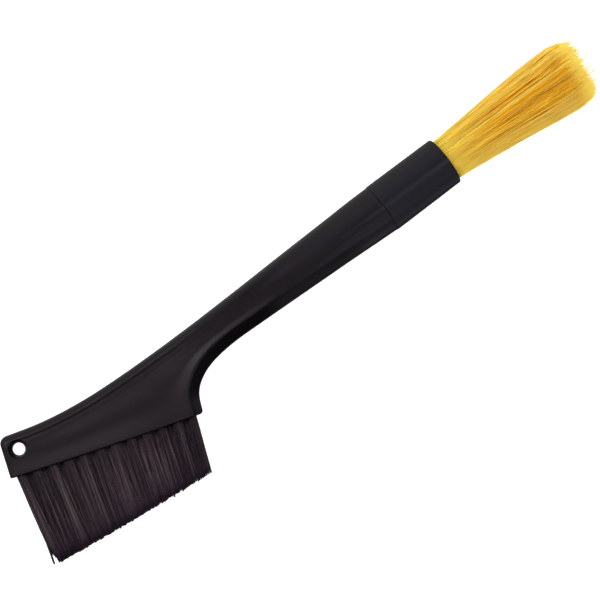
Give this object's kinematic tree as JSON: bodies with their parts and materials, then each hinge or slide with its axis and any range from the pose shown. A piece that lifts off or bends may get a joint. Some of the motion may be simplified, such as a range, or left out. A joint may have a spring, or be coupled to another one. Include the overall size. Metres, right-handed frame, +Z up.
{
  "type": "coffee grinder brush",
  "caption": "Grinder cleaning brush with a slim moulded handle, a stiff flat tuft brush along one end and a soft round bristle bundle in a sleeve at the other.",
  "frame": {"origin": "on the table, under the centre of the bounding box of the brush as it lies on its side", "axes": "+X along the brush from the flat brush to the round bundle, +Y across it towards the spine of the handle (the flat brush hangs towards -Y), +Z up through the thickness"},
  "size_m": [0.2763, 0.0572, 0.0259],
  "materials": {
    "handle_plastic": "moulded, satin, black",
    "sleeve_plastic": "moulded, satin, black with a cool tint",
    "natural_bristle": "golden boar bristle with pale split tips",
    "nylon_bristle": "dark brown nylon filament, trimmed",
    "staple_steel": "bare flat wire",
    "potting_resin": "amber casting resin"
  },
  "bodies": {
    "root": {"handle_body": "handle_plastic", "ferrule": "sleeve_plastic", "bristle_resin_plug": "potting_resin", "round_bristle_bundle": "natural_bristle", "flat_tuft_front_01": "nylon_bristle", "flat_tuft_front_02": "nylon_bristle", "flat_tuft_front_03": "nylon_bristle", "flat_tuft_front_04": "nylon_bristle", "flat_tuft_front_05": "nylon_bristle", "flat_tuft_front_06": "nylon_bristle", "flat_tuft_front_07": "nylon_bristle", "flat_tuft_front_08": "nylon_bristle", "flat_tuft_front_09": "nylon_bristle", "flat_tuft_front_10": "nylon_bristle", "flat_tuft_front_11": "nylon_bristle", "flat_tuft_front_12": "nylon_bristle", "flat_tuft_rear_01": "nylon_bristle", "flat_tuft_rear_02": "nylon_bristle", "flat_tuft_rear_03": "nylon_bristle", "flat_tuft_rear_04": "nylon_bristle", "flat_tuft_rear_05": "nylon_bristle", "flat_tuft_rear_06": "nylon_bristle", "flat_tuft_rear_07": "nylon_bristle", "flat_tuft_rear_08": "nylon_bristle", "flat_tuft_rear_09": "nylon_bristle", "flat_tuft_rear_10": "nylon_bristle", "flat_tuft_rear_11": "nylon_bristle", "tuft_anchor_front_01": "staple_steel", "tuft_anchor_front_02": "staple_steel", "tuft_anchor_front_03": "staple_steel", "tuft_anchor_front_04": "staple_steel", "tuft_anchor_front_05": "staple_steel", "tuft_anchor_front_06": "staple_steel", "tuft_anchor_front_07": "staple_steel", "tuft_anchor_front_08": "staple_steel", "tuft_anchor_front_09": "staple_steel", "tuft_anchor_front_10": "staple_steel", "tuft_anchor_front_11": "staple_steel", "tuft_anchor_front_12": "staple_steel", "tuft_anchor_rear_01": "staple_steel", "tuft_anchor_rear_02": "staple_steel", "tuft_anchor_rear_03": "staple_steel", "tuft_anchor_rear_04": "staple_steel", "tuft_anchor_rear_05": "staple_steel", "tuft_anchor_rear_06": "staple_steel", "tuft_anchor_rear_07": "staple_steel", "tuft_anchor_rear_08": "staple_steel", "tuft_anchor_rear_09": "staple_steel", "tuft_anchor_rear_10": "staple_steel", "tuft_anchor_rear_11": "staple_steel"}
  },
  "joints": []
}
